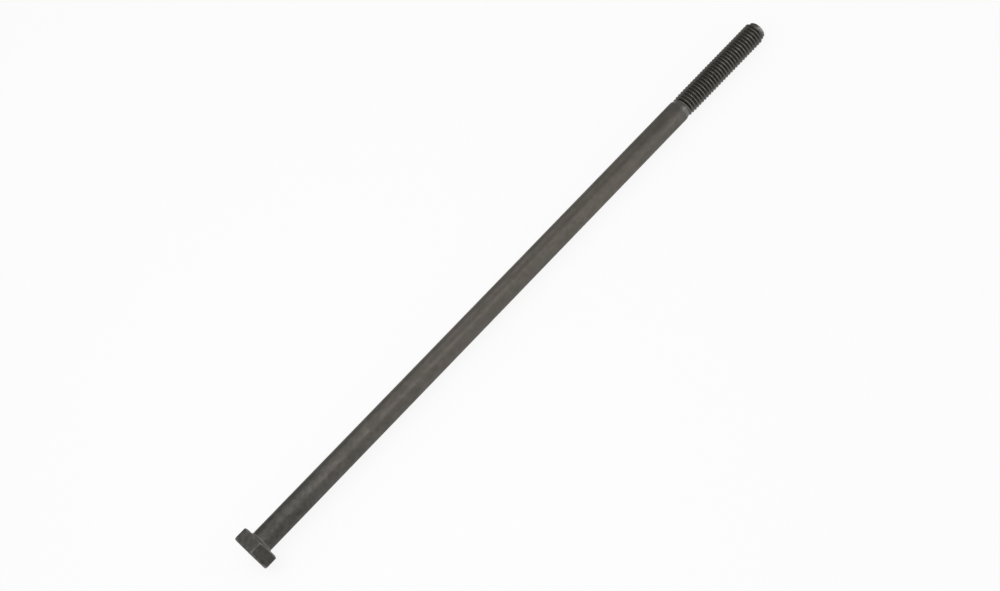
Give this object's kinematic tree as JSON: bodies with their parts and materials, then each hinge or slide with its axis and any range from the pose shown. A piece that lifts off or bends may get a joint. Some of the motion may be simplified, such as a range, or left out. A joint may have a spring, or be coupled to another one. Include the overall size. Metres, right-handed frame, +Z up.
{
  "type": "swingarm pivot bolt",
  "caption": "Long slim M8 pivot bolt: low hexagon head, plain shank, short neck, rolled right-hand thread and chamfered tip, in blackened steel.",
  "frame": {"origin": "centre of the bearing face under the head, on the bolt's axis", "axes": "+X along the bolt from the bearing face to the tip; the head lies on the -X side; +Z is up, normal to a flat of the hexagon, and the opposite flat faces down"},
  "size_m": [0.2452, 0.0158, 0.0136],
  "materials": {
    "black_steel": "satin black oxide over drawn and rolled steel, faint lengthwise drawing marks, brownish mottling, worn bright on edges and thread crests"
  },
  "bodies": {
    "root": {"pivot_bolt": "black_steel"}
  },
  "joints": []
}
